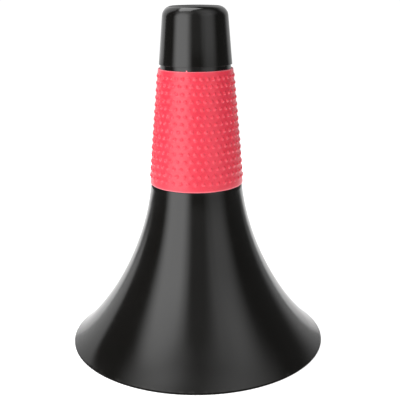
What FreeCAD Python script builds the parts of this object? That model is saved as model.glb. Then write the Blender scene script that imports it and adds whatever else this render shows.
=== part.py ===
import FreeCAD, Part
import math
import os

# A hand-held training cone: a flared shell with a long tapered neck, a rubber
# grip sleeve stretched over the neck, and a snap-on end cap.
# Millimetres, +Z up. The origin is the centre of the open end, which the cone
# stands on. Every piece is round about the Z axis.

# ---- Flare: the open, trumpet-shaped part of the shell ----
rim_radius = 89.4           # outer radius of the open end
rim_land = 1.2              # height of the rim's upright edge
rim_angle = 52.0            # degrees from upright at which the flare leaves the rim
rim_pull = 27.4             # how far the curve keeps the rim's lean
flare_height = 115.1        # from the open end to the shoulder under the sleeve
flare_top_pull = 50.7       # how far the curve keeps the neck's taper at the shoulder
flare_wall = 2.4
shoulder_ledge = 0.9        # width of the ledge that carries the sleeve

# ---- Neck: the tapered stretch under the sleeve ----
neck_length = 80.8          # from the shoulder to the cap's seat
neck_foot_radius = 30.7
neck_end_radius = 23.45
neck_wall = 2.1

# ---- Spigot: the reduced end of the neck, inside the cap ----
spigot_length = 12.0
spigot_step = 1.55          # how far the neck steps in to the spigot
spigot_wall = 2.0
spigot_floor = 2.4          # wall left under the cap's seat
spigot_ramp = 1.6           # height of the inner slope up to the spigot's bore
spigot_lead_in = 0.6        # chamfer round the spigot's tip

# ---- Snap fit between the spigot and the cap ----
snap_height = 6.5           # of the bead above the seat
snap_half_width = 0.9
snap_rise = 0.3

# ---- Grip sleeve ----
bare_band = 2.7             # height of the neck left bare between the sleeve and the cap
sleeve_wall = 1.4
sleeve_edge = 0.5           # rounding of its two outer edges
sleeve_clearance = 0.05     # between the sleeve and the neck

# ---- End cap ----
cap_height = 38.1
cap_overhang = 1.0          # how far the cap's foot stands out from the neck's end
cap_taper = 3.2             # how much the wall narrows from the cap's foot to its top
cap_corner_radius = 7.0
cap_crown = 0.8             # rise of the top from the wall's line to the middle
cap_wall = 2.2
cap_clearance = 0.05        # between the cap and the spigot
cap_end_gap = 0.5           # above the spigot's tip

same_height = 1e-4          # how near two heights count as one

# ---- Radii and heights that follow from the sizes above ----
flare_top_radius = neck_foot_radius + shoulder_ledge
spigot_radius = neck_end_radius - spigot_step
cap_foot_radius = neck_end_radius + cap_overhang
shoulder_z = flare_height
seat_z = shoulder_z + neck_length
sleeve_top_z = seat_z - bare_band
snap_z = seat_z + snap_height
spigot_top_z = seat_z + spigot_length
cap_top_z = seat_z + cap_height


def at(radius, height):
    """A point of a section, which lies in the XZ plane."""
    return FreeCAD.Vector(radius, 0, height)


def line(start, end):
    return Part.LineSegment(start, end).toShape()


def arc(start, middle, end):
    return Part.Arc(start, middle, end).toShape()


def curve(poles):
    bezier = Part.BezierCurve()
    bezier.setPoles(poles)
    return bezier.toShape()


def path(points):
    """Straight edges from each point to the next."""
    return [line(start, end) for start, end in zip(points, points[1:])]


def turned(edges):
    """The solid that a closed section sweeps in a full turn about Z."""
    section = Part.Face(Part.Wire(edges))
    solid = section.revolve(FreeCAD.Vector(0, 0, 0), FreeCAD.Vector(0, 0, 1), 360)
    if solid.Volume < 0:
        solid.reverse()
    return solid


def is_ring(edge, height):
    """Whether an edge lies at one height."""
    box = edge.BoundBox
    return abs(box.ZMin - height) < same_height and abs(box.ZMax - height) < same_height


def rounded(solid, radius, heights):
    """The solid with its outermost round edge at each height filleted."""
    outer_edges = []
    for height in heights:
        rings = [edge for edge in solid.Edges if is_ring(edge, height)]
        outer_edges.append(max(rings, key=lambda ring: ring.BoundBox.XMax))
    return solid.makeFillet(radius, outer_edges)


def neck_radius(height):
    """Outer radius of the neck's tapered face."""
    share = (height - shoulder_z) / neck_length
    return neck_foot_radius + share * (neck_end_radius - neck_foot_radius)


def neck_slope():
    """Unit vector down the neck's tapered face."""
    down = at(neck_foot_radius - neck_end_radius, -neck_length)
    return down.normalize()


def flare_outside():
    """Poles of the outer curve, from the rim's land up to the shoulder."""
    lean = math.radians(rim_angle)
    uphill = at(-math.sin(lean), math.cos(lean))
    start = at(rim_radius, rim_land)
    end = at(flare_top_radius, shoulder_z)
    return [start, start + uphill * rim_pull, end + neck_slope() * flare_top_pull, end]


def flare_inside():
    """Poles of the inner curve: a wall inside the outer one at the rim, and the neck's bore at the top."""
    lean = math.radians(rim_angle)
    uphill = at(-math.sin(lean), math.cos(lean))
    inward = at(-math.cos(lean), -math.sin(lean))
    offset = at(rim_radius, rim_land) + inward * flare_wall
    lift = -offset.z / uphill.z
    start = offset + uphill * lift
    end = at(neck_radius(shoulder_z) - neck_wall, shoulder_z)
    return [start, start + uphill * (rim_pull - lift), end + neck_slope() * flare_top_pull, end]


def cone_shell():
    outside = flare_outside()
    inside = flare_inside()
    bore = spigot_radius - spigot_wall
    ramp_top = seat_z - spigot_floor
    ramp_foot = ramp_top - spigot_ramp
    bead_foot = at(spigot_radius, snap_z - snap_half_width)
    bead_crest = at(spigot_radius + snap_rise, snap_z)
    bead_top = at(spigot_radius, snap_z + snap_half_width)
    edges = [line(at(rim_radius, 0), outside[0]), curve(outside)]
    edges += path([
        outside[-1],
        at(neck_foot_radius, shoulder_z),
        at(neck_end_radius, seat_z),
        at(spigot_radius, seat_z),
        bead_foot,
    ])
    edges.append(arc(bead_foot, bead_crest, bead_top))
    edges += path([
        bead_top,
        at(spigot_radius, spigot_top_z - spigot_lead_in),
        at(spigot_radius - spigot_lead_in, spigot_top_z),
        at(bore, spigot_top_z),
        at(bore, ramp_top),
        at(neck_radius(ramp_foot) - neck_wall, ramp_foot),
        inside[-1],
    ])
    edges += [curve(inside), line(inside[0], at(rim_radius, 0))]
    return turned(edges)


def grip_sleeve():
    inner_foot = neck_radius(shoulder_z) + sleeve_clearance
    inner_top = neck_radius(sleeve_top_z) + sleeve_clearance
    edges = path([
        at(inner_foot, shoulder_z),
        at(inner_top, sleeve_top_z),
        at(inner_top + sleeve_wall, sleeve_top_z),
        at(inner_foot + sleeve_wall, shoulder_z),
        at(inner_foot, shoulder_z),
    ])
    return rounded(turned(edges), sleeve_edge, [shoulder_z, sleeve_top_z])


def cap_wall_radius(height):
    """Outer radius of the cap's tapered wall."""
    return cap_foot_radius - cap_taper * (height - seat_z) / cap_height


def end_cap():
    bore = spigot_radius + cap_clearance
    bore_top = spigot_top_z + cap_end_gap
    groove_foot = at(bore, snap_z - snap_half_width - cap_clearance)
    groove_crest = at(bore + snap_rise, snap_z)
    groove_top = at(bore, snap_z + snap_half_width + cap_clearance)

    # The crown is part of a sphere on the axis.
    crown_z = cap_top_z - cap_crown
    crown_edge = at(cap_wall_radius(crown_z), crown_z)
    sphere = (crown_edge.x**2 + cap_crown**2) / (2 * cap_crown)
    half_angle = math.asin(crown_edge.x / sphere) / 2
    crown_middle = at(sphere * math.sin(half_angle), cap_top_z - sphere * (1 - math.cos(half_angle)))
    crown_centre = at(0, cap_top_z)

    ceiling_z = crown_z - cap_wall
    edges = [line(at(cap_foot_radius, seat_z), crown_edge)]
    edges.append(arc(crown_edge, crown_middle, crown_centre))
    edges += path([
        crown_centre,
        at(0, ceiling_z),
        at(cap_wall_radius(ceiling_z) - cap_wall, ceiling_z),
        at(cap_wall_radius(bore_top) - cap_wall, bore_top),
        at(bore, bore_top),
        groove_top,
    ])
    edges.append(arc(groove_top, groove_crest, groove_foot))
    edges += path([groove_foot, at(bore, seat_z), at(cap_foot_radius, seat_z)])
    crowned = rounded(turned(edges), cap_corner_radius, [crown_z])
    return rounded(crowned, cap_corner_radius - cap_wall, [ceiling_z])


os.makedirs("parts", exist_ok=True)
nodes = {
    "cone_shell": cone_shell(),
    "grip_sleeve": grip_sleeve(),
    "end_cap": end_cap(),
}
for name, solid in nodes.items():
    solid.exportStep(f"parts/{name}.step")
    state = "valid" if solid.isValid() else "not valid"
    print(f"{name}: {state}, {solid.Volume:.0f} mm3")
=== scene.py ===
"""A hand-held training cone: a flared shell, a studded grip sleeve and an end cap.

The file is laid out as an add-on and run as a script. It turns the shell and the cap
from their sections, lays rows of studs round the sleeve, gives each piece its finish
and sets up a pale studio. Lengths are metres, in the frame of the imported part.
"""

import math

import bmesh
import bpy
from bpy.props import (
    FloatProperty,
    FloatVectorProperty,
    IntProperty,
    PointerProperty,
)
from mathutils import Matrix, Vector


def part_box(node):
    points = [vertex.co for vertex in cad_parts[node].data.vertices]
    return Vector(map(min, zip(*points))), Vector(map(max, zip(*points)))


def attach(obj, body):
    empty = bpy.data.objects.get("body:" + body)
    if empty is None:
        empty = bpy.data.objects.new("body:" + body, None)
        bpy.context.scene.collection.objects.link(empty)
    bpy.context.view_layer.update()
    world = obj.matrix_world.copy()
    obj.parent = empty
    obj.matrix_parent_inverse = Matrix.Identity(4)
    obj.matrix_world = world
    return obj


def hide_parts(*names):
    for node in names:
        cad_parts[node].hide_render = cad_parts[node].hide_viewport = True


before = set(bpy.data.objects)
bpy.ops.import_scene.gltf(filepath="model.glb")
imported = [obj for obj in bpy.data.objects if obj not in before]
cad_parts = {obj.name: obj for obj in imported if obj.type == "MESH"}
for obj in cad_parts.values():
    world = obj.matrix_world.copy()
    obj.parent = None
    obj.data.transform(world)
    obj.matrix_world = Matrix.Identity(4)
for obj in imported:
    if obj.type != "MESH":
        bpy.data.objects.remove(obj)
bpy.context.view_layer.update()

bl_info = {
    "name": "Training Cone",
    "version": (1, 0, 0),
    "blender": (4, 5, 0),
    "location": "View3D > Sidebar > Training Cone",
    "description": "Builds a hand-held training cone in a pale studio",
    "category": "Add Mesh",
}

MM = 0.001
BODY = "root"
SHELL_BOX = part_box("cone_shell")
SLEEVE_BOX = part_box("grip_sleeve")
CAP_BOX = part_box("end_cap")

# Heights that the pieces share, read from the frame.
SHOULDER = SLEEVE_BOX[0].z
SLEEVE_TOP = SLEEVE_BOX[1].z
SEAT = CAP_BOX[0].z
SPIGOT_TOP = SHELL_BOX[1].z
CAP_TOP = CAP_BOX[1].z

# The joint between the spigot and the cap, which is hidden.
SNAP_HEIGHT = 6.5 * MM
SNAP_HALF_WIDTH = 0.9 * MM
SNAP_RISE = 0.3 * MM
SNAP_ROUNDING = 0.6 * MM
SNAP_PLAY = 0.05 * MM
SPIGOT_LEAD_IN = 0.6 * MM
SPIGOT_BORE_BELOW_SEAT = 2.4 * MM
SPIGOT_BORE_RAMP = 1.6 * MM
CAP_END_GAP = 0.5 * MM

# Columns in a full turn, steps along a curve, and the angles past which an edge looks sharp.
SHELL_COLUMNS = 256
CAP_COLUMNS = 192
FLOOR_COLUMNS = 96
COLUMNS_PER_STUD = 4
FLARE_STEPS = 56
FLARE_INSIDE_STEPS = 40
CAP_CORNER_STEPS = 24
CAP_CROWN_STEPS = 14
MOULDED_EDGE = math.radians(38)
RUBBER_EDGE = math.radians(50)

# Heights that differ by less are one height, and radii under it are on the axis.
TINY = 0.001 * MM
# Corners of the tiles and the sleeve that are nearer than this become one.
WELD_DISTANCE = 0.02 * MM

# The shoulder and the seat are rounded less than the rim, as shares of its rounding.
SHOULDER_EDGE_SHARE = 0.8
SEAT_EDGE_SHARE = 0.5
# The nib's flat top, as a share of the face that it is drawn from.
NIB_TOP_SHARE = 0.72

# The floor's glow brightens between these shares of its radius, out of the painted shadow pool
# round the cone.
FLOOR_PAINTED_SHADOW_SHARE = 0.35
FLOOR_WHITE_SHARE = 0.8
# The room's brightness as it is seen, and as it lights the cone.
ROOM_SHOWN = 1.05
ROOM_LIGHT = 0.1
# The height that the softboxes face.
AIM_HEIGHT = 0.15


def linear(hex_colour):
    """Linear red, green and blue of an sRGB hex colour."""
    shares = [int(hex_colour[start:start + 2], 16) / 255 for start in (1, 3, 5)]
    return [
        share / 12.92 if share <= 0.04045 else ((share + 0.055) / 1.055) ** 2.4
        for share in shares
    ]


# ---- Sizes and colours that a user may change ----


def length_setting(name, description, default):
    """A length, in metres."""
    return FloatProperty(name=name, description=description, default=default, unit="LENGTH")


def angle_setting(name, description, degrees):
    """An angle, whose default is given in degrees."""
    return FloatProperty(
        name=name,
        description=description,
        default=math.radians(degrees),
        subtype="ANGLE",
        unit="ROTATION",
    )


def colour_setting(name, description, hex_colour):
    """A colour, whose default is given as sRGB hex."""
    return FloatVectorProperty(
        name=name, description=description, default=linear(hex_colour), subtype="COLOR"
    )


class ShellSizes(bpy.types.PropertyGroup):
    """Sizes of the flared shell and its tapered neck."""

    rim_radius: length_setting("Rim Radius", "Outer radius of the open end", SHELL_BOX[1].x)
    rim_land: length_setting("Rim Land", "Height of the rim's upright edge", 1.2 * MM)
    rim_angle: angle_setting(
        "Rim Angle", "Lean of the flare from upright where it leaves the rim", 52.0
    )
    rim_pull: length_setting("Rim Pull", "How far the flare keeps the rim's lean", 27.4 * MM)
    top_pull: length_setting(
        "Shoulder Pull", "How far the flare keeps the neck's taper below the shoulder", 50.7 * MM
    )
    flare_wall: length_setting("Flare Wall", "Wall thickness of the flare at the rim", 2.4 * MM)
    ledge: length_setting("Shoulder Ledge", "Width of the ledge that carries the sleeve", 0.9 * MM)
    neck_foot_radius: length_setting(
        "Neck Foot Radius", "Radius of the neck at the shoulder", 30.7 * MM
    )
    neck_end_radius: length_setting(
        "Neck End Radius", "Radius of the neck where the cap sits", 23.45 * MM
    )
    neck_wall: length_setting("Neck Wall", "Wall thickness of the neck", 2.1 * MM)
    spigot_step: length_setting("Spigot Step", "How far the neck steps in under the cap", 1.55 * MM)
    spigot_wall: length_setting("Spigot Wall", "Wall thickness of the spigot", 2.0 * MM)
    edge: length_setting("Edge Rounding", "Rounding of the moulded outer edges", 0.35 * MM)


class SleeveSizes(bpy.types.PropertyGroup):
    """Sizes of the rubber sleeve and its studs."""

    wall: length_setting("Wall", "Thickness of the sleeve between its studs", 1.4 * MM)
    clearance: length_setting("Clearance", "Gap between the sleeve and the neck", 0.05 * MM)
    edge: length_setting("Edge Rounding", "Rounding of the sleeve's two outer edges", 0.5 * MM)
    rows: IntProperty(
        name="Rows",
        description="Rows of studs from top to bottom",
        default=15,
        min=2,
    )
    studs_in_row: IntProperty(
        name="Studs in a Row",
        description="Studs in one turn of the sleeve",
        default=39,
        min=3,
    )
    first_row: length_setting(
        "First Row", "Distance from the sleeve's top edge down to the first row", 4.555 * MM
    )
    row_pitch: length_setting("Row Pitch", "Height from one row to the next", 4.855 * MM)
    first_turn: angle_setting("First Stud", "Turn of the first stud about the axis", 1.33)
    stud_radius: length_setting("Stud Radius", "Radius of a stud at its foot", 1.4 * MM)
    stud_rise: length_setting("Stud Rise", "How far a stud stands out of the sleeve", 0.62 * MM)
    stud_skirt: length_setting(
        "Stud Skirt", "Width of the rounded corner round a stud's foot", 0.2 * MM
    )
    nib_turn: angle_setting("Nib Turn", "Where the moulding nib stands on the top edge", -104.0)
    nib_height: length_setting("Nib Height", "Height of the moulding nib", 0.85 * MM)


class CapSizes(bpy.types.PropertyGroup):
    """Sizes of the end cap."""

    overhang: length_setting(
        "Overhang", "How far the cap's foot stands out from the neck", 1.0 * MM
    )
    taper: length_setting("Taper", "How much the wall narrows from foot to top", 3.2 * MM)
    corner: length_setting("Corner Radius", "Rounding between the wall and the top", 7.0 * MM)
    crown: length_setting("Crown", "Rise of the top from its edge to the middle", 0.8 * MM)
    wall: length_setting("Wall", "Wall thickness", 2.2 * MM)
    edge: length_setting("Foot Rounding", "Rounding of the foot's outer edge", 0.15 * MM)
    clearance: length_setting("Clearance", "Gap between the cap and the spigot", 0.05 * MM)


class Finishes(bpy.types.PropertyGroup):
    """Colours of the plastic, the rubber and the floor."""

    plastic: colour_setting("Black Plastic", "Colour of the moulded shell and cap", "#0B0A08")
    scuff: colour_setting(
        "Scuffed Plastic", "Colour of the plastic where the rim is rubbed", "#3A3936"
    )
    rubber: colour_setting("Red Rubber", "Colour of the grip sleeve", "#EA4053")
    # Painted shade: this deeper red is painted down between the studs, where shade falls.
    rubber_painted_shade: colour_setting(
        "Deep Red Rubber", "Colour of the sleeve down between its studs", "#DC3247"
    )
    # Painted highlight: this paler colour is painted along the sleeve's two thin edges.
    rubber_painted_highlight: colour_setting(
        "Pale Rubber Edge", "Colour of the sleeve where it thins out to its two edges", "#FA8C97"
    )
    floor: colour_setting("Floor", "Colour of the studio floor", "#F4F4F4")


class StudioSizes(bpy.types.PropertyGroup):
    """Camera and light settings."""

    camera_distance: length_setting(
        "Camera Distance", "Distance from the axis to the camera along the ground", 523.0 * MM
    )
    camera_height: length_setting(
        "Camera Height", "Height of the camera above the floor", 251.2 * MM
    )
    camera_pitch: angle_setting("Camera Pitch", "How far the camera looks down", 15.98)
    camera_yaw: angle_setting("Camera Yaw", "How far the camera looks to the right", 0.246)
    camera_roll: angle_setting("Camera Roll", "How far the camera is tipped", -0.435)
    focal_length: FloatProperty(
        name="Focal Length",
        description="Lens length in millimetres",
        default=69.98,
        subtype="DISTANCE_CAMERA",
    )
    floor_radius: length_setting("Floor Radius", "Radius of the back-lit floor", 0.62)
    brightness: FloatProperty(
        name="Light Level",
        description="Brightness of all the softboxes together",
        default=1.0,
        min=0.0,
    )


class TrainingConeSettings(bpy.types.PropertyGroup):
    """All the settings of the training cone."""

    shell: PointerProperty(type=ShellSizes, name="Shell", description="Shell sizes")
    sleeve: PointerProperty(type=SleeveSizes, name="Sleeve", description="Sleeve sizes")
    cap: PointerProperty(type=CapSizes, name="Cap", description="Cap sizes")
    finishes: PointerProperty(type=Finishes, name="Finishes", description="Colours")
    studio: PointerProperty(type=StudioSizes, name="Studio", description="Studio settings")


# ---- Sections and turned meshes ----


def arc_points(centre, start, end, steps):
    """Points along the shorter arc about a centre, both ends included."""
    radius = (start - centre).length
    begin = math.atan2(start.y - centre.y, start.x - centre.x)
    finish = math.atan2(end.y - centre.y, end.x - centre.x)
    swing = math.remainder(finish - begin, math.tau)
    angles = [begin + swing * step / steps for step in range(steps + 1)]
    return [centre + radius * Vector((math.cos(angle), math.sin(angle))) for angle in angles]


def curve_points(poles, steps):
    """Points along a cubic curve, both ends included."""
    points = []
    for step in range(steps + 1):
        share = step / steps
        rest = 1 - share
        weights = (rest**3, 3 * rest**2 * share, 3 * rest * share**2, share**3)
        points.append(sum((pole * weight for pole, weight in zip(poles, weights)), Vector((0, 0))))
    return points


def rounded(corners, steps=5):
    """A section's points. A corner with a third number is rounded to that radius."""
    points = []
    for number, corner in enumerate(corners):
        here = Vector(corner[:2])
        if len(corner) < 3:
            points.append(here)
            continue
        back = (Vector(corners[number - 1][:2]) - here).normalized()
        ahead = (Vector(corners[(number + 1) % len(corners)][:2]) - here).normalized()
        half = back.angle(ahead) / 2
        centre = here + (back + ahead).normalized() * corner[2] / math.sin(half)
        reach = corner[2] / math.tan(half)
        points += arc_points(centre, here + back * reach, here + ahead * reach, steps)
    return points


def turned(name, points, columns, first_turn=0.0, closed=True, finish_starts=(0,)):
    """The mesh that a section of (radius, height) points sweeps in a full turn about Z.

    Points on the axis become poles. Each finish starts at the ring that finish_starts gives.
    """
    verts = []
    rings = []
    for radius, height in points:
        on_axis = radius < TINY
        turns = [first_turn + math.tau * column / columns for column in range(columns)]
        if on_axis:
            rings.append([len(verts)] * columns)
            verts.append((0.0, 0.0, height))
        else:
            rings.append(range(len(verts), len(verts) + columns))
            verts += [(radius * math.cos(t), radius * math.sin(t), height) for t in turns]
    following = rings[1:] + (rings[:1] if closed else [])
    faces = []
    finishes = []
    for number, (ring, after) in enumerate(zip(rings, following)):
        finish = sum(number >= start for start in finish_starts) - 1
        for column in range(columns):
            right = (column + 1) % columns
            corners = [ring[column], ring[right], after[right], after[column]]
            face = list(dict.fromkeys(corners))
            if len(face) > 2:
                faces.append(face)
                finishes.append(finish)
    mesh = bpy.data.meshes.new(name)
    mesh.from_pydata(verts, [], faces)
    mesh.polygons.foreach_set("material_index", finishes)
    if closed:
        work = bmesh.new()
        work.from_mesh(mesh)
        bmesh.ops.recalc_face_normals(work, faces=work.faces[:])
        work.to_mesh(mesh)
        work.free()
    return mesh


def smooth(mesh, sharp_angle):
    """Shades a mesh smooth except where it turns by more than an angle."""
    mesh.shade_smooth()
    mesh.set_sharp_from_angle(angle=sharp_angle)
    return mesh


def placed(mesh, finishes):
    """A new object for a mesh, at the origin, with its finishes."""
    made = bpy.data.objects.new(mesh.name, mesh)
    bpy.context.scene.collection.objects.link(made)
    for finish in finishes:
        mesh.materials.append(finish)
    return made


def fit_frame(piece, node):
    """Makes a finished piece stand for a node of the frame."""
    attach(piece, BODY)
    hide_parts(node)


def neck_radius(sizes, height):
    """Outer radius of the neck's tapered face at a height."""
    share = (height - SHOULDER) / (SEAT - SHOULDER)
    return sizes.neck_foot_radius + share * (sizes.neck_end_radius - sizes.neck_foot_radius)


# ---- Node trees ----


def add(tree, kind, inputs=None, **settings):
    """A new node. Inputs are values, sockets, or nodes whose first output is linked."""
    made = tree.nodes.new(kind)
    for name, value in settings.items():
        setattr(made, name, value)
    for socket, value in (inputs or {}).items():
        if isinstance(value, bpy.types.Node):
            tree.links.new(value.outputs[0], made.inputs[socket])
        elif isinstance(value, bpy.types.NodeSocket):
            tree.links.new(value, made.inputs[socket])
        else:
            made.inputs[socket].default_value = value
    return made


def new_material(name):
    """An empty material with its node tree and object coordinates."""
    material = bpy.data.materials.new(name)
    material.use_nodes = True
    tree = material.node_tree
    tree.nodes.clear()
    place = add(tree, "ShaderNodeTexCoord").outputs["Object"]
    return material, tree, place


def opaque(colour):
    """A colour socket's value."""
    return (*colour, 1.0)


def per(size):
    """The scale that draws a pattern's features at a size in millimetres."""
    return 1 / (size * MM)


def moulded_abs(finishes, polish):
    """Injection-moulded ABS, mould-polished.

    It is near black with sharp pale reflections. The flow of the plastic leaves a slight
    ripple, handling leaves duller smudges, and next to the rim it is rubbed a little grey. The
    core side, on the inside, was not polished and is duller.
    """
    material, tree, place = new_material(f"moulded_abs_{polish}")
    gloss = {"polished": 0.13, "core_side": 0.46}[polish]
    # Smudges as wide as a fingertip.
    smudge = add(
        tree,
        "ShaderNodeTexNoise",
        {"Vector": place, "Scale": per(23.8), "Detail": 4.0, "Roughness": 0.6},
    )
    # Hairline scratches 22 mm long, drawn 1.1 mm wide, coarser than real ones, so that they show.
    hair_place = add(
        tree, "ShaderNodeMapping", {"Vector": place, "Scale": (per(1.11), per(1.11), per(22.2))}
    )
    hairs = add(tree, "ShaderNodeTexNoise", {"Vector": hair_place, "Scale": 1.0, "Detail": 2.0})
    # Ripple of 1.6 mm, drawn coarser than the real one so that it shows.
    peel = add(tree, "ShaderNodeTexNoise", {"Vector": place, "Scale": per(1.61), "Detail": 2.0})
    smudge_gloss = add(
        tree,
        "ShaderNodeMapRange",
        {
            "Value": smudge,
            "From Min": 0.35,
            "From Max": 0.7,
            "To Min": gloss - 0.02,
            "To Max": gloss + 0.05,
        },
    )
    hair_gloss = add(
        tree,
        "ShaderNodeMapRange",
        {"Value": hairs, "From Min": 0.6, "From Max": 0.75, "To Min": 0.0, "To Max": 0.05},
    )
    height = add(tree, "ShaderNodeSeparateXYZ", {"Vector": place}).outputs["Z"]
    near_rim = add(
        tree,
        "ShaderNodeMapRange",
        {"Value": height, "From Min": 0.3 * MM, "From Max": 2.6 * MM, "To Min": 1.0, "To Max": 0.0},
    )
    # Rubbed spots of 4 mm, along the lowest 2.6 mm.
    rubbed = add(tree, "ShaderNodeTexNoise", {"Vector": place, "Scale": per(3.85), "Detail": 5.0})
    rub_spots = add(
        tree,
        "ShaderNodeMapRange",
        {"Value": rubbed, "From Min": 0.48, "From Max": 0.66, "To Min": 0.0, "To Max": 0.6},
    )
    rub = add(tree, "ShaderNodeMath", {0: near_rim, 1: rub_spots}, operation="MULTIPLY")
    both_gloss = add(tree, "ShaderNodeMath", {0: smudge_gloss, 1: hair_gloss}, operation="ADD")
    rub_gloss = add(
        tree, "ShaderNodeMath", {0: rub, 1: 0.35, 2: both_gloss}, operation="MULTIPLY_ADD"
    )
    colour = add(
        tree,
        "ShaderNodeMix",
        {"Factor": rub, 6: opaque(finishes.plastic), 7: opaque(finishes.scuff)},
        data_type="RGBA",
    )
    bump = add(tree, "ShaderNodeBump", {"Height": peel, "Strength": 0.5, "Distance": 0.012 * MM})
    surface = add(
        tree,
        "ShaderNodeBsdfPrincipled",
        {"Base Color": colour.outputs[2], "Roughness": rub_gloss, "Normal": bump, "IOR": 1.52},
    )
    add(tree, "ShaderNodeOutputMaterial", {"Surface": surface})
    return material


def trimmed_abs(finishes):
    """ABS where the rim was trimmed to height with a knife.

    It has lost its moulded skin, so it is matt and black, with fine drag marks round it.
    """
    material, tree, place = new_material("trimmed_abs")
    # Drag marks 0.3 mm high and 4 mm long round the rim.
    mark_place = add(
        tree, "ShaderNodeMapping", {"Vector": place, "Scale": (per(4), per(4), per(0.303))}
    )
    marks = add(tree, "ShaderNodeTexNoise", {"Vector": mark_place, "Scale": 1.0, "Detail": 3.0})
    gloss = add(
        tree,
        "ShaderNodeMapRange",
        {"Value": marks, "From Min": 0.3, "From Max": 0.7, "To Min": 0.6, "To Max": 0.75},
    )
    tone = add(
        tree,
        "ShaderNodeMapRange",
        {"Value": marks, "From Min": 0.55, "From Max": 0.75, "To Min": 0.0, "To Max": 0.3},
    )
    colour = add(
        tree,
        "ShaderNodeMix",
        {"Factor": tone, 6: opaque(finishes.plastic), 7: opaque(finishes.scuff)},
        data_type="RGBA",
    )
    bump = add(tree, "ShaderNodeBump", {"Height": marks, "Strength": 0.5, "Distance": 0.03 * MM})
    surface = add(
        tree,
        "ShaderNodeBsdfPrincipled",
        {
            "Base Color": colour.outputs[2],
            "Roughness": gloss,
            "Normal": bump,
            "IOR": 1.52,
            "Specular IOR Level": 0.08,
        },
    )
    add(tree, "ShaderNodeOutputMaterial", {"Surface": surface})
    return material


def moulded_rubber(finishes):
    """Injection-moulded thermoplastic rubber with a satin skin.

    It is a soft bright red, paler along its two thin edges as a painted highlight. The studs'
    tops are a little smoother from handling; the colour is painted paler toward them and deeper
    red down between the studs, a painted shade. The mould's fine grain breaks up its broad
    highlights.
    """
    material, tree, place = new_material("moulded_rubber_red")
    stored_rise = add(
        tree, "ShaderNodeAttribute", attribute_name="rise", attribute_type="GEOMETRY"
    )
    rise = stored_rise.outputs["Fac"]
    # Uneven colour in patches of 8 mm.
    mottle = add(
        tree,
        "ShaderNodeTexNoise",
        {"Vector": place, "Scale": per(8.33), "Detail": 5.0, "Roughness": 0.6},
    )
    # Mould grain of 0.5 mm, drawn coarser than the real one so that it shows.
    grain = add(tree, "ShaderNodeTexNoise", {"Vector": place, "Scale": per(0.5), "Detail": 3.0})
    # Painted shade: the colour goes deeper red low between the studs and paler toward their tops,
    # over the random mottle.
    tone = add(tree, "ShaderNodeMath", {0: rise, 1: 0.55, 2: mottle}, operation="MULTIPLY_ADD")
    colour = add(
        tree,
        "ShaderNodeMix",
        {"Factor": tone, 6: opaque(finishes.rubber_painted_shade), 7: opaque(finishes.rubber)},
        data_type="RGBA",
    )
    # The edges are painted paler, a painted highlight for the light that the rounded top edge
    # catches from above and that passes through the thin rubber at the foot.
    height = add(tree, "ShaderNodeSeparateXYZ", {"Vector": place}).outputs["Z"]
    foot_painted_highlight = add(
        tree,
        "ShaderNodeMapRange",
        {
            "Value": height,
            "From Min": SHOULDER + 0.3 * MM,
            "From Max": SHOULDER + 1.2 * MM,
            "To Min": 0.7,
            "To Max": 0.0,
        },
    )
    top_painted_highlight = add(
        tree,
        "ShaderNodeMapRange",
        {
            "Value": height,
            "From Min": SLEEVE_TOP - 0.7 * MM,
            "From Max": SLEEVE_TOP + 0.2 * MM,
            "To Min": 0.0,
            "To Max": 0.8,
        },
    )
    thin = add(tree, "ShaderNodeMath", {0: foot_painted_highlight, 1: top_painted_highlight}, operation="MAXIMUM")
    colour_with_painted_highlight = add(
        tree,
        "ShaderNodeMix",
        {"Factor": thin, 6: colour.outputs[2], 7: opaque(finishes.rubber_painted_highlight)},
        data_type="RGBA",
    )
    grain_gloss = add(
        tree,
        "ShaderNodeMapRange",
        {"Value": grain, "From Min": 0.3, "From Max": 0.7, "To Min": 0.26, "To Max": 0.35},
    )
    gloss = add(
        tree, "ShaderNodeMath", {0: rise, 1: -0.06, 2: grain_gloss}, operation="MULTIPLY_ADD"
    )
    bump = add(tree, "ShaderNodeBump", {"Height": grain, "Strength": 0.6, "Distance": 0.02 * MM})
    surface = add(
        tree,
        "ShaderNodeBsdfPrincipled",
        {
            "Base Color": colour_with_painted_highlight.outputs[2],
            "Roughness": gloss,
            "Normal": bump,
            "IOR": 1.5,
            "Subsurface Weight": 0.25,
            "Subsurface Scale": 1.2 * MM,
            "Subsurface Radius": (1.0, 0.15, 0.12),
        },
    )
    add(tree, "ShaderNodeOutputMaterial", {"Surface": surface})
    return material


def studio_floor(finishes, inner, outer):
    """A back-lit acrylic sheet with a faint grain.

    Its glow is painted dimmer round the cone, a painted shadow pool that deepens the soft
    shadow it takes there, and it is full white further out.
    """
    material, tree, place = new_material("back_lit_acrylic")
    grain = add(tree, "ShaderNodeTexNoise", {"Vector": place, "Scale": per(33.3), "Detail": 3.0})
    gloss = add(
        tree,
        "ShaderNodeMapRange",
        {"Value": grain, "From Min": 0.3, "From Max": 0.7, "To Min": 0.55, "To Max": 0.7},
    )
    distance = add(tree, "ShaderNodeVectorMath", {0: place}, operation="LENGTH").outputs["Value"]
    # Painted shadow: the glow is dimmer round the cone, which paints a shadow pool there.
    glow = add(
        tree,
        "ShaderNodeMapRange",
        {"Value": distance, "From Min": inner, "From Max": outer, "To Min": 0.6, "To Max": 1.1},
        interpolation_type="SMOOTHSTEP",
    )
    surface = add(
        tree,
        "ShaderNodeBsdfPrincipled",
        {
            "Base Color": opaque(finishes.floor),
            "Roughness": gloss,
            "Emission Color": opaque(finishes.floor),
            "Emission Strength": glow,
        },
    )
    add(tree, "ShaderNodeOutputMaterial", {"Surface": surface})
    return material


# ---- The sleeve's studs ----


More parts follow.
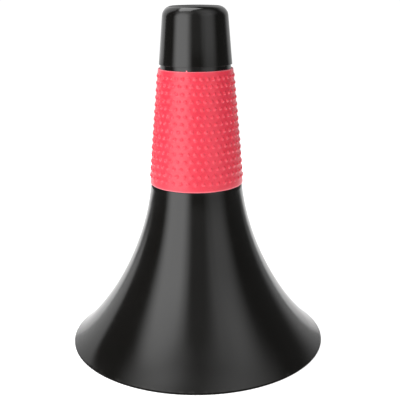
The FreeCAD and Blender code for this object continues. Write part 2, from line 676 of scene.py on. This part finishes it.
def stud_tile(sizes):
    """One stud on its patch of sleeve, flat, facing +Z.

    The patch's edge is in pitches and has a stretch of 1, so that it fills the cell
    between its neighbours at any row. The stud itself is in metres and keeps its size.
    """
    edge = [
        (0.5, 0.0), (0.5, 0.5), (0.25, 0.5), (0.0, 0.5), (-0.25, 0.5), (-0.5, 0.5),
        (-0.5, 0.0), (-0.5, -0.5), (-0.25, -0.5), (0.0, -0.5), (0.25, -0.5), (0.5, -0.5),
    ]
    sides = len(edge)
    dome = (sizes.stud_radius**2 + sizes.stud_rise**2) / (2 * sizes.stud_rise)
    foot = math.asin(sizes.stud_radius / dome)
    rings = [(sizes.stud_radius + sizes.stud_skirt, 0.0)]
    for share in (0.96, 0.66, 0.34):
        angle = foot * share
        rings.append((dome * math.sin(angle), dome * (math.cos(angle) - 1) + sizes.stud_rise))
    verts = [(across, up, 0.0) for across, up in edge]
    for radius, rise in rings:
        for side in range(sides):
            angle = math.tau * side / sides
            verts.append((radius * math.cos(angle), radius * math.sin(angle), rise))
    verts.append((0.0, 0.0, sizes.stud_rise))
    faces = []
    for ring in range(len(rings)):
        for side in range(sides):
            after = (side + 1) % sides
            low = ring * sides
            faces.append((low + side, low + after, low + sides + after, low + sides + side))
    top = len(rings) * sides
    faces += [(top + side, top + (side + 1) % sides, len(verts) - 1) for side in range(sides)]
    mesh = bpy.data.meshes.new("stud_tile")
    mesh.from_pydata(verts, [], faces)
    stretch = mesh.attributes.new("stretch", "FLOAT", "POINT")
    stretch.data.foreach_set("value", [1.0] * sides + [0.0] * (len(verts) - sides))
    return mesh


def stud_rows_tree():
    """Lays the tile in staggered rows round a tapered sleeve and welds it to the rest."""
    tree = bpy.data.node_groups.new("stud_rows", "GeometryNodeTree")
    sockets = {
        "Geometry": "NodeSocketGeometry",
        "Tile": "NodeSocketObject",
        "Rows": "NodeSocketInt",
        "Studs in a Row": "NodeSocketInt",
        "First Row Height": "NodeSocketFloat",
        "Row Pitch": "NodeSocketFloat",
        "First Stud Turn": "NodeSocketFloat",
        "Radius at First Row": "NodeSocketFloat",
        "Taper": "NodeSocketFloat",
        "Stud Rise": "NodeSocketFloat",
        "Weld Distance": "NodeSocketFloat",
        "Finish": "NodeSocketMaterial",
    }
    for name, kind in sockets.items():
        tree.interface.new_socket(name, in_out="INPUT", socket_type=kind)
    tree.interface.new_socket("Geometry", in_out="OUTPUT", socket_type="NodeSocketGeometry")
    given = add(tree, "NodeGroupInput").outputs
    per_row = given["Studs in a Row"]

    # One point for each stud, which carries its own turn and height.
    count = add(tree, "ShaderNodeMath", {0: given["Rows"], 1: per_row}, operation="MULTIPLY")
    points = add(tree, "GeometryNodePoints", {"Count": count})
    index = add(tree, "GeometryNodeInputIndex")
    middle = add(tree, "ShaderNodeMath", {0: index, 1: 0.5}, operation="ADD")
    row_share = add(tree, "ShaderNodeMath", {0: middle, 1: per_row}, operation="DIVIDE")
    row = add(tree, "ShaderNodeMath", {0: row_share}, operation="FLOOR")
    passed = add(tree, "ShaderNodeMath", {0: row, 1: per_row}, operation="MULTIPLY")
    column = add(tree, "ShaderNodeMath", {0: index, 1: passed}, operation="SUBTRACT")
    odd = add(tree, "ShaderNodeMath", {0: row, 1: 2.0}, operation="MODULO")
    staggered = add(tree, "ShaderNodeMath", {0: odd, 1: 0.5, 2: column}, operation="MULTIPLY_ADD")
    step = add(tree, "ShaderNodeMath", {0: math.tau, 1: per_row}, operation="DIVIDE")
    stud_turn = add(
        tree,
        "ShaderNodeMath",
        {0: staggered, 1: step, 2: given["First Stud Turn"]},
        operation="MULTIPLY_ADD",
    )
    drop = add(tree, "ShaderNodeMath", {0: row, 1: given["Row Pitch"]}, operation="MULTIPLY")
    stud_height = add(
        tree, "ShaderNodeMath", {0: given["First Row Height"], 1: drop}, operation="SUBTRACT"
    )
    turned_points = add(
        tree,
        "GeometryNodeStoreNamedAttribute",
        {"Geometry": points, "Name": "stud_turn", "Value": stud_turn},
        data_type="FLOAT",
        domain="POINT",
    )
    raised_points = add(
        tree,
        "GeometryNodeStoreNamedAttribute",
        {"Geometry": turned_points, "Name": "stud_height", "Value": stud_height},
        data_type="FLOAT",
        domain="POINT",
    )
    tile = add(tree, "GeometryNodeObjectInfo", {"Object": given["Tile"]}).outputs["Geometry"]
    tiles = add(tree, "GeometryNodeInstanceOnPoints", {"Points": raised_points, "Instance": tile})
    studs = add(tree, "GeometryNodeRealizeInstances", {"Geometry": tiles})

    # Each tile's corners, from the flat to their place on the tapered sleeve.
    corner = add(tree, "GeometryNodeInputPosition")
    flat = add(tree, "ShaderNodeSeparateXYZ", {"Vector": corner}).outputs
    stretch = add(tree, "GeometryNodeInputNamedAttribute", {"Name": "stretch"}, data_type="FLOAT")
    own_turn = add(
        tree, "GeometryNodeInputNamedAttribute", {"Name": "stud_turn"}, data_type="FLOAT"
    )
    own_height = add(
        tree, "GeometryNodeInputNamedAttribute", {"Name": "stud_height"}, data_type="FLOAT"
    )
    row_depth = add(
        tree, "ShaderNodeMath", {0: given["First Row Height"], 1: own_height}, operation="SUBTRACT"
    )
    row_radius = add(
        tree,
        "ShaderNodeMath",
        {0: row_depth, 1: given["Taper"], 2: given["Radius at First Row"]},
        operation="MULTIPLY_ADD",
    )
    kept_swing = add(tree, "ShaderNodeMath", {0: flat["X"], 1: row_radius}, operation="DIVIDE")
    cell_swing = add(tree, "ShaderNodeMath", {0: flat["X"], 1: step}, operation="MULTIPLY")
    swing = add(tree, "ShaderNodeMix", {"Factor": stretch, 2: kept_swing, 3: cell_swing})
    turn = add(tree, "ShaderNodeMath", {0: own_turn, 1: swing}, operation="ADD")
    cell_up = add(
        tree, "ShaderNodeMath", {0: flat["Y"], 1: given["Row Pitch"]}, operation="MULTIPLY"
    )
    up = add(tree, "ShaderNodeMix", {"Factor": stretch, 2: flat["Y"], 3: cell_up})
    foot_radius = add(
        tree,
        "ShaderNodeMath",
        {
            0: add(tree, "ShaderNodeMath", {0: up, 1: given["Taper"]}, operation="MULTIPLY"),
            1: -1.0,
            2: row_radius,
        },
        operation="MULTIPLY_ADD",
    )
    lean = add(tree, "ShaderNodeMath", {0: given["Taper"]}, operation="ARCTANGENT")
    outward = add(tree, "ShaderNodeMath", {0: lean}, operation="COSINE")
    upward = add(tree, "ShaderNodeMath", {0: lean}, operation="SINE")
    radius = add(
        tree, "ShaderNodeMath", {0: flat["Z"], 1: outward, 2: foot_radius}, operation="MULTIPLY_ADD"
    )
    foot_height = add(tree, "ShaderNodeMath", {0: own_height, 1: up}, operation="ADD")
    height = add(
        tree, "ShaderNodeMath", {0: flat["Z"], 1: upward, 2: foot_height}, operation="MULTIPLY_ADD"
    )
    cosine = add(tree, "ShaderNodeMath", {0: turn}, operation="COSINE")
    sine = add(tree, "ShaderNodeMath", {0: turn}, operation="SINE")
    x = add(tree, "ShaderNodeMath", {0: radius, 1: cosine}, operation="MULTIPLY")
    y = add(tree, "ShaderNodeMath", {0: radius, 1: sine}, operation="MULTIPLY")
    place = add(tree, "ShaderNodeCombineXYZ", {"X": x, "Y": y, "Z": height})

    # How far up its stud each point is, which the rubber's finish reads.
    rise = add(tree, "ShaderNodeMath", {0: flat["Z"], 1: given["Stud Rise"]}, operation="DIVIDE")
    marked = add(
        tree,
        "GeometryNodeStoreNamedAttribute",
        {"Geometry": studs, "Name": "rise", "Value": rise},
        data_type="FLOAT",
        domain="POINT",
    )
    wrapped = add(tree, "GeometryNodeSetPosition", {"Geometry": marked, "Position": place})
    joined = add(tree, "GeometryNodeJoinGeometry")
    tree.links.new(wrapped.outputs[0], joined.inputs[0])
    tree.links.new(given["Geometry"], joined.inputs[0])
    welded = add(
        tree,
        "GeometryNodeMergeByDistance",
        {"Geometry": joined, "Distance": given["Weld Distance"]},
    )
    finished = add(
        tree, "GeometryNodeSetMaterial", {"Geometry": welded, "Material": given["Finish"]}
    )
    add(tree, "NodeGroupOutput", {"Geometry": finished})
    return tree


def raise_nib(mesh, turn, top, height):
    """Draws one face of the sleeve's top edge up into a moulding nib."""
    work = bmesh.new()
    work.from_mesh(mesh)
    toward = Vector((math.cos(turn), math.sin(turn), 0.0))
    level = [face for face in work.faces if abs(face.calc_center_median().z - top) < TINY]
    chosen = max(level, key=lambda face: face.calc_center_median().normalized().dot(toward))
    raised = bmesh.ops.extrude_discrete_faces(work, faces=[chosen])["faces"][0]
    middle = raised.calc_center_median()
    for corner in raised.verts:
        corner.co = middle + (corner.co - middle) * NIB_TOP_SHARE + Vector((0.0, 0.0, height))
    work.to_mesh(mesh)
    work.free()


# ---- Operators ----


class TRAININGCONE_OT_add_shell(bpy.types.Operator):
    """Add the flared shell with its neck and spigot"""

    bl_idname = "training_cone.add_shell"
    bl_label = "Add Shell"

    def execute(self, context):
        settings = context.scene.training_cone
        sizes = settings.shell
        lean = sizes.rim_angle
        uphill = Vector((-math.sin(lean), math.cos(lean)))
        inward = Vector((-math.cos(lean), -math.sin(lean)))
        taper = Vector((sizes.neck_foot_radius - sizes.neck_end_radius, SHOULDER - SEAT))
        down_neck = taper.normalized()

        rim = Vector((sizes.rim_radius, sizes.rim_land))
        shoulder = Vector((sizes.neck_foot_radius + sizes.ledge, SHOULDER))
        outside = curve_points(
            [
                rim,
                rim + uphill * sizes.rim_pull,
                shoulder + down_neck * sizes.top_pull,
                shoulder,
            ],
            FLARE_STEPS,
        )
        offset = rim + inward * sizes.flare_wall
        lift = -offset.y / uphill.y
        inner_rim = offset + uphill * lift
        bore_foot = Vector((sizes.neck_foot_radius - sizes.neck_wall, SHOULDER))
        inside = curve_points(
            [
                inner_rim,
                inner_rim + uphill * (sizes.rim_pull - lift),
                bore_foot + down_neck * sizes.top_pull,
                bore_foot,
            ],
            FLARE_INSIDE_STEPS,
        )
        spigot = sizes.neck_end_radius - sizes.spigot_step
        bore = spigot - sizes.spigot_wall
        snap = SEAT + SNAP_HEIGHT
        ramp_top = SEAT - SPIGOT_BORE_BELOW_SEAT
        ramp_foot = ramp_top - SPIGOT_BORE_RAMP
        corners = [(sizes.rim_radius, 0.0, sizes.edge), (*rim, sizes.edge)]
        land_end = len(rounded(corners + [tuple(outside[1])])) - 2
        corners += [tuple(point) for point in outside[1:-1]]
        corners += [
            (*shoulder, sizes.edge * SHOULDER_EDGE_SHARE),
            (sizes.neck_foot_radius, SHOULDER),
            (sizes.neck_end_radius, SEAT, sizes.edge * SEAT_EDGE_SHARE),
            (spigot, SEAT),
            (spigot, snap - SNAP_HALF_WIDTH),
            (spigot + SNAP_RISE, snap, SNAP_ROUNDING),
            (spigot, snap + SNAP_HALF_WIDTH),
            (spigot, SPIGOT_TOP - SPIGOT_LEAD_IN),
            (spigot - SPIGOT_LEAD_IN, SPIGOT_TOP),
            (bore, SPIGOT_TOP),
        ]
        outer_count = len(rounded(corners))
        corners += [
            (bore, ramp_top),
            (neck_radius(sizes, ramp_foot) - sizes.neck_wall, ramp_foot),
        ]
        corners += [tuple(point) for point in reversed(inside)]
        mesh = turned(
            "cone_shell_turned",
            rounded(corners),
            SHELL_COLUMNS,
            finish_starts=(0, land_end, outer_count - 1),
        )
        smooth(mesh, MOULDED_EDGE)
        finishes = settings.finishes
        land = trimmed_abs(finishes)
        outer = moulded_abs(finishes, "polished")
        inner = moulded_abs(finishes, "core_side")
        shell = placed(mesh, [land, outer, inner])
        fit_frame(shell, "cone_shell")
        return {"FINISHED"}


class TRAININGCONE_OT_add_sleeve(bpy.types.Operator):
    """Add the rubber sleeve with its rows of studs"""

    bl_idname = "training_cone.add_sleeve"
    bl_label = "Add Sleeve"

    def execute(self, context):
        settings = context.scene.training_cone
        neck = settings.shell
        sizes = settings.sleeve
        gap = sizes.clearance
        inner_foot = neck_radius(neck, SHOULDER) + gap
        inner_top = neck_radius(neck, SLEEVE_TOP) + gap
        taper = (inner_foot - inner_top) / (SLEEVE_TOP - SHOULDER)
        first_row = SLEEVE_TOP - sizes.first_row
        studded_top = first_row + sizes.row_pitch / 2
        studded_foot = studded_top - sizes.rows * sizes.row_pitch

        def outer_radius(height):
            return neck_radius(neck, height) + gap + sizes.wall

        corners = [
            (outer_radius(studded_top), studded_top),
            (outer_radius(SLEEVE_TOP), SLEEVE_TOP, sizes.edge),
            (inner_top, SLEEVE_TOP),
            (inner_foot, SHOULDER),
            (outer_radius(SHOULDER), SHOULDER, sizes.edge),
            (outer_radius(studded_foot), studded_foot),
        ]
        columns = sizes.studs_in_row * COLUMNS_PER_STUD
        mesh = turned(
            "grip_sleeve_studded",
            rounded(corners),
            columns,
            first_turn=sizes.first_turn,
            closed=False,
        )
        raise_nib(mesh, sizes.nib_turn, SLEEVE_TOP, sizes.nib_height)
        rubber = moulded_rubber(settings.finishes)
        sleeve = placed(mesh, [])
        tile = placed(stud_tile(sizes), [])
        tree = stud_rows_tree()
        given = {
            "Tile": tile,
            "Rows": sizes.rows,
            "Studs in a Row": sizes.studs_in_row,
            "First Row Height": first_row,
            "Row Pitch": sizes.row_pitch,
            "First Stud Turn": sizes.first_turn,
            "Radius at First Row": outer_radius(first_row),
            "Taper": taper,
            "Stud Rise": sizes.stud_rise,
            "Weld Distance": WELD_DISTANCE,
            "Finish": rubber,
        }
        modifier = sleeve.modifiers.new("stud_rows", "NODES")
        modifier.node_group = tree
        for item in tree.interface.items_tree:
            if item.in_out == "INPUT" and item.name in given:
                modifier[item.identifier] = given[item.name]
        graph = context.evaluated_depsgraph_get()
        finished = bpy.data.meshes.new_from_object(sleeve.evaluated_get(graph))
        sleeve.modifiers.clear()
        finished.name = mesh.name
        sleeve.data = finished
        bpy.data.objects.remove(tile)
        work = bmesh.new()
        work.from_mesh(finished)
        open_edges = [edge for edge in work.edges if not edge.is_manifold]
        if open_edges:
            raise RuntimeError(f"the sleeve has {len(open_edges)} open edges")
        bmesh.ops.recalc_face_normals(work, faces=work.faces[:])
        work.to_mesh(finished)
        work.free()
        smooth(finished, RUBBER_EDGE)
        fit_frame(sleeve, "grip_sleeve")
        return {"FINISHED"}


class TRAININGCONE_OT_add_cap(bpy.types.Operator):
    """Add the end cap"""

    bl_idname = "training_cone.add_cap"
    bl_label = "Add Cap"

    def execute(self, context):
        settings = context.scene.training_cone
        neck = settings.shell
        sizes = settings.cap
        foot = neck.neck_end_radius + sizes.overhang

        def wall_radius(height):
            return foot - sizes.taper * (height - SEAT) / (CAP_TOP - SEAT)

        # The corner's centre lies a corner's radius inside both the wall and the crown's sphere.
        crown_foot = CAP_TOP - sizes.crown
        sphere = (wall_radius(crown_foot) ** 2 + sizes.crown**2) / (2 * sizes.crown)
        sphere_centre = Vector((0.0, CAP_TOP - sphere))
        up_wall = Vector((-sizes.taper, CAP_TOP - SEAT)).normalized()
        into_wall = Vector((-up_wall.y, up_wall.x))
        base = Vector((foot, SEAT)) + into_wall * sizes.corner - sphere_centre
        along = base.dot(up_wall)
        reach = math.sqrt(along**2 - base.length_squared + (sphere - sizes.corner) ** 2) - along
        corner_centre = sphere_centre + base + up_wall * reach
        wall_end = corner_centre - into_wall * sizes.corner
        crown_end = sphere_centre + (corner_centre - sphere_centre).normalized() * sphere
        corner = arc_points(corner_centre, wall_end, crown_end, CAP_CORNER_STEPS)
        crown = arc_points(sphere_centre, crown_end, Vector((0.0, CAP_TOP)), CAP_CROWN_STEPS)[1:]
        crown[-1].x = 0.0

        ceiling = crown_foot - sizes.wall
        bore = neck.neck_end_radius - neck.spigot_step + sizes.clearance
        bore_top = SPIGOT_TOP + CAP_END_GAP
        snap = SEAT + SNAP_HEIGHT
        groove = SNAP_HALF_WIDTH + SNAP_PLAY
        corners = [(foot, SEAT, sizes.edge)]
        corners += [tuple(point) for point in corner + crown]
        core_from = len(rounded(corners)) - 1
        corners += [
            (0.0, ceiling),
            (wall_radius(ceiling) - sizes.wall, ceiling, sizes.corner - sizes.wall),
            (wall_radius(bore_top) - sizes.wall, bore_top),
            (bore, bore_top),
            (bore, snap + groove),
            (bore + SNAP_RISE, snap, SNAP_ROUNDING),
            (bore, snap - groove),
            (bore, SEAT),
        ]
        mesh = turned("end_cap_turned", rounded(corners), CAP_COLUMNS, finish_starts=(0, core_from))
        smooth(mesh, MOULDED_EDGE)
        finishes = settings.finishes
        cap = placed(mesh, [moulded_abs(finishes, "polished"), moulded_abs(finishes, "core_side")])
        fit_frame(cap, "end_cap")
        return {"FINISHED"}


def softbox(name, target, turn, height, distance, width, tall, level, softness):
    """A rectangular area light that faces the target and fades out toward its edges.

    Turn and height are degrees round the target, from the front to the right, and above
    the ground. Softness is the share of each half that fades.
    """
    turn = math.radians(turn)
    height = math.radians(height)
    away = Vector(
        (math.sin(turn) * math.cos(height), -math.cos(turn) * math.cos(height), math.sin(height))
    )
    side = Vector((math.cos(turn), math.sin(turn), 0.0))
    up = away.cross(side)
    light = bpy.data.lights.new(name, "AREA")
    light.shape = "RECTANGLE"
    light.size = width
    light.size_y = tall
    light.energy = 4 * width * tall * level
    light.use_nodes = True
    tree = light.node_tree
    tree.nodes.clear()
    across = add(
        tree,
        "ShaderNodeSeparateXYZ",
        {"Vector": add(tree, "ShaderNodeNewGeometry").outputs["Parametric"]},
    )
    fades = []
    for axis in ("X", "Y"):
        doubled = add(
            tree,
            "ShaderNodeMath",
            {0: across.outputs[axis], 1: 2.0, 2: -1.0},
            operation="MULTIPLY_ADD",
        )
        out = add(tree, "ShaderNodeMath", {0: doubled}, operation="ABSOLUTE")
        fades.append(
            add(
                tree,
                "ShaderNodeMapRange",
                {
                    "Value": out,
                    "From Min": 1.0,
                    "From Max": 1.0 - softness,
                    "To Min": 0.0,
                    "To Max": 1.0,
                },
                interpolation_type="SMOOTHSTEP",
            )
        )
    fade = add(tree, "ShaderNodeMath", {0: fades[0], 1: fades[1]}, operation="MULTIPLY")
    glow = add(tree, "ShaderNodeEmission", {"Color": (1, 1, 1, 1), "Strength": fade})
    add(tree, "ShaderNodeOutputLight", {"Surface": glow})
    box = bpy.data.objects.new(name, light)
    frame_turn = Matrix((side, up, away)).transposed().to_4x4()
    box.matrix_world = Matrix.Translation(target + away * distance) @ frame_turn
    box.visible_camera = False
    bpy.context.scene.collection.objects.link(box)
    return box


class TRAININGCONE_OT_add_studio(bpy.types.Operator):
    """Add the pale floor, the softboxes and the camera"""

    bl_idname = "training_cone.add_studio"
    bl_label = "Add Studio"

    def execute(self, context):
        settings = context.scene.training_cone
        sizes = settings.studio
        scene = context.scene

        edge = Vector((sizes.floor_radius, 0.0))
        mesh = turned("studio_floor", [Vector((0.0, 0.0)), edge], FLOOR_COLUMNS, closed=False)
        acrylic = studio_floor(
            settings.finishes,
            sizes.floor_radius * FLOOR_PAINTED_SHADOW_SHARE,
            sizes.floor_radius * FLOOR_WHITE_SHARE,
        )
        floor = placed(mesh, [acrylic])

        target = Vector((0.0, 0.0, AIM_HEIGHT))
        level = sizes.brightness
        # The key stands at the front left and the fill at the front right, each with a
        # softer box over it. The walls behind draw the outline.
        softbox(
            "key_box", target, turn=-45, height=0, distance=1.1,
            width=1.6, tall=2.6, level=2.3 * level, softness=0.7,
        )
        softbox(
            "key_top", target, turn=-50, height=50, distance=1.1,
            width=1.5, tall=1.1, level=1.3 * level, softness=1.0,
        )
        softbox(
            "fill_panel", target, turn=45, height=15, distance=1.1,
            width=1.4, tall=1.6, level=0.75 * level, softness=0.85,
        )
        softbox(
            "fill_top", target, turn=55, height=55, distance=1.2,
            width=1.8, tall=2.0, level=0.8 * level, softness=1.0,
        )
        softbox(
            "front_wall", target, turn=5, height=25, distance=1.6,
            width=1.5, tall=1.7, level=0.15 * level, softness=0.2,
        )
        softbox(
            "overhead_box", target, turn=-120, height=75, distance=1.2,
            width=1.0, tall=0.7, level=3.0 * level, softness=0.2,
        )
        softbox(
            "back_left_wall", target, turn=-145, height=25, distance=1.8,
            width=2.0, tall=2.4, level=0.7 * level, softness=0.2,
        )
        softbox(
            "back_right_wall", target, turn=150, height=15, distance=1.8,
            width=2.4, tall=2.4, level=0.45 * level, softness=0.6,
        )

        world = bpy.data.worlds.new("pale_room")
        scene.world = world
        world.use_nodes = True
        tree = world.node_tree
        tree.nodes.clear()
        # The room looks pure white but lights the cone only faintly.
        seen = add(tree, "ShaderNodeLightPath").outputs["Is Camera Ray"]
        white = opaque((1.0, 1.0, 1.0))
        dim = add(tree, "ShaderNodeBackground", {"Color": white, "Strength": ROOM_LIGHT})
        bright = add(tree, "ShaderNodeBackground", {"Color": white, "Strength": ROOM_SHOWN})
        shown = add(tree, "ShaderNodeMixShader", {0: seen, 1: dim, 2: bright})
        add(tree, "ShaderNodeOutputWorld", {"Surface": shown})

        pitch = sizes.camera_pitch
        yaw = sizes.camera_yaw
        roll = sizes.camera_roll
        forward = Vector(
            (math.sin(yaw) * math.cos(pitch), math.cos(yaw) * math.cos(pitch), -math.sin(pitch))
        )
        level_right = Vector((math.cos(yaw), -math.sin(yaw), 0.0))
        level_up = level_right.cross(forward)
        right = math.cos(roll) * level_right + math.sin(roll) * level_up
        up = math.cos(roll) * level_up - math.sin(roll) * level_right
        lens = bpy.data.cameras.new("studio_camera")
        lens.sensor_width = 36.0
        lens.lens = sizes.focal_length
        lens.clip_start = 0.01
        camera = bpy.data.objects.new("studio_camera", lens)
        turned_frame = Matrix((right, up, -forward)).transposed().to_4x4()
        place = Vector((0.0, -sizes.camera_distance, sizes.camera_height))
        camera.matrix_world = Matrix.Translation(place) @ turned_frame
        scene.collection.objects.link(camera)
        scene.camera = camera
        scene.view_settings.view_transform = "Standard"
        return {"FINISHED"}


class TRAININGCONE_PT_panel(bpy.types.Panel):
    """Sizes, colours and buttons of the training cone"""

    bl_idname = "TRAININGCONE_PT_panel"
    bl_label = "Training Cone"
    bl_space_type = "VIEW_3D"
    bl_region_type = "UI"
    bl_category = "Training Cone"

    def draw(self, context):
        settings = context.scene.training_cone
        for group_name in settings.__annotations__:
            group = getattr(settings, group_name)
            box = self.layout.box()
            box.label(text=group_name.capitalize())
            for size_name in group.__annotations__:
                box.prop(group, size_name)
        for operator in OPERATORS:
            self.layout.operator(operator.bl_idname)


OPERATORS = (
    TRAININGCONE_OT_add_shell,
    TRAININGCONE_OT_add_sleeve,
    TRAININGCONE_OT_add_cap,
    TRAININGCONE_OT_add_studio,
)
CLASSES = (
    ShellSizes,
    SleeveSizes,
    CapSizes,
    Finishes,
    StudioSizes,
    TrainingConeSettings,
    *OPERATORS,
    TRAININGCONE_PT_panel,
)


def register():
    """Registers the classes and the scene's settings."""
    for each in CLASSES:
        bpy.utils.register_class(each)
    bpy.types.Scene.training_cone = PointerProperty(type=TrainingConeSettings)


def unregister():
    """Takes the settings and the classes away again."""
    del bpy.types.Scene.training_cone
    for each in reversed(CLASSES):
        bpy.utils.unregister_class(each)


def main():
    """Builds the cone and the studio."""
    register()
    bpy.ops.training_cone.add_shell()
    bpy.ops.training_cone.add_sleeve()
    bpy.ops.training_cone.add_cap()
    bpy.ops.training_cone.add_studio()


if __name__ == "__main__":
    main()
